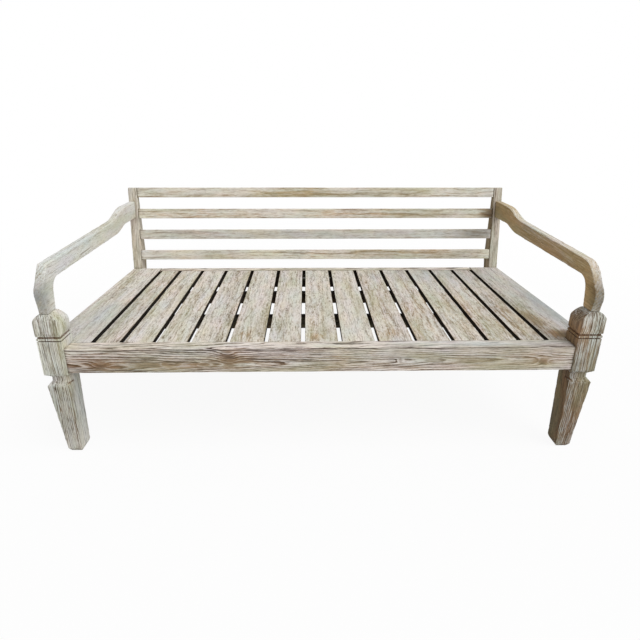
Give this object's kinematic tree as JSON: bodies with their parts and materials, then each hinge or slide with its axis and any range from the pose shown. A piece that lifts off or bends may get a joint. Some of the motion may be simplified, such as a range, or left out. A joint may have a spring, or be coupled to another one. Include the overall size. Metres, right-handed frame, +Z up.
{
  "type": "daybed",
  "caption": "Wooden daybed with a seat of front-to-back boards, a low raked slatted back, raked back posts, and curved arms that rise from bulbs on the carved, tapered front legs.",
  "frame": {"origin": "centre of the footprint of the whole daybed, on the floor", "axes": "+X towards the sitter's left, along the seat; +Y towards the back; +Z up"},
  "size_m": [2.022, 1.1404, 0.86],
  "materials": {
    "leg_wood": "matt, whitewashed over brown grain, worn",
    "post_wood": "matt, whitewashed over brown grain, worn",
    "arm_wood": "matt, whitewashed over brown grain, worn",
    "rail_wood": "matt, whitewashed over brown grain, worn",
    "seat_wood": "matt, whitewashed over brown grain, worn",
    "back_wood": "matt, whitewashed over brown grain, worn",
    "under_wood": "matt, sawn, thinly whitewashed",
    "peg_wood": "matt end grain",
    "screw_steel": "zinc plated"
  },
  "bodies": {
    "root": {"arm_left": "arm_wood", "arm_pegs": "peg_wood", "arm_right": "arm_wood", "back_ledger": "under_wood", "back_ledger_screws": "screw_steel", "back_post_left": "post_wood", "back_post_right": "post_wood", "back_rail": "rail_wood", "back_rail_pegs": "peg_wood", "back_slat_lower": "back_wood", "back_slat_middle": "back_wood", "back_slat_pegs": "peg_wood", "back_slat_upper": "back_wood", "back_top_rail": "back_wood", "bearer_screws_front": "screw_steel", "bearer_screws_rear": "screw_steel", "cross_bearer_front": "under_wood", "cross_bearer_rear": "under_wood", "front_ledger": "under_wood", "front_ledger_screws": "screw_steel", "front_leg_left": "leg_wood", "front_leg_right": "leg_wood", "front_rail": "rail_wood", "front_rail_pegs": "peg_wood", "seat_end_board_left": "seat_wood", "seat_end_board_right": "seat_wood", "seat_slat_01": "seat_wood", "seat_slat_02": "seat_wood", "seat_slat_03": "seat_wood", "seat_slat_04": "seat_wood", "seat_slat_05": "seat_wood", "seat_slat_06": "seat_wood", "seat_slat_07": "seat_wood", "seat_slat_08": "seat_wood", "seat_slat_09": "seat_wood", "seat_slat_10": "seat_wood", "seat_slat_11": "seat_wood", "seat_slat_12": "seat_wood", "seat_slat_13": "seat_wood", "side_rail_left": "under_wood", "side_rail_pegs": "peg_wood", "side_rail_right": "under_wood", "slat_screws_front": "screw_steel", "slat_screws_rear": "screw_steel"}
  },
  "joints": []
}
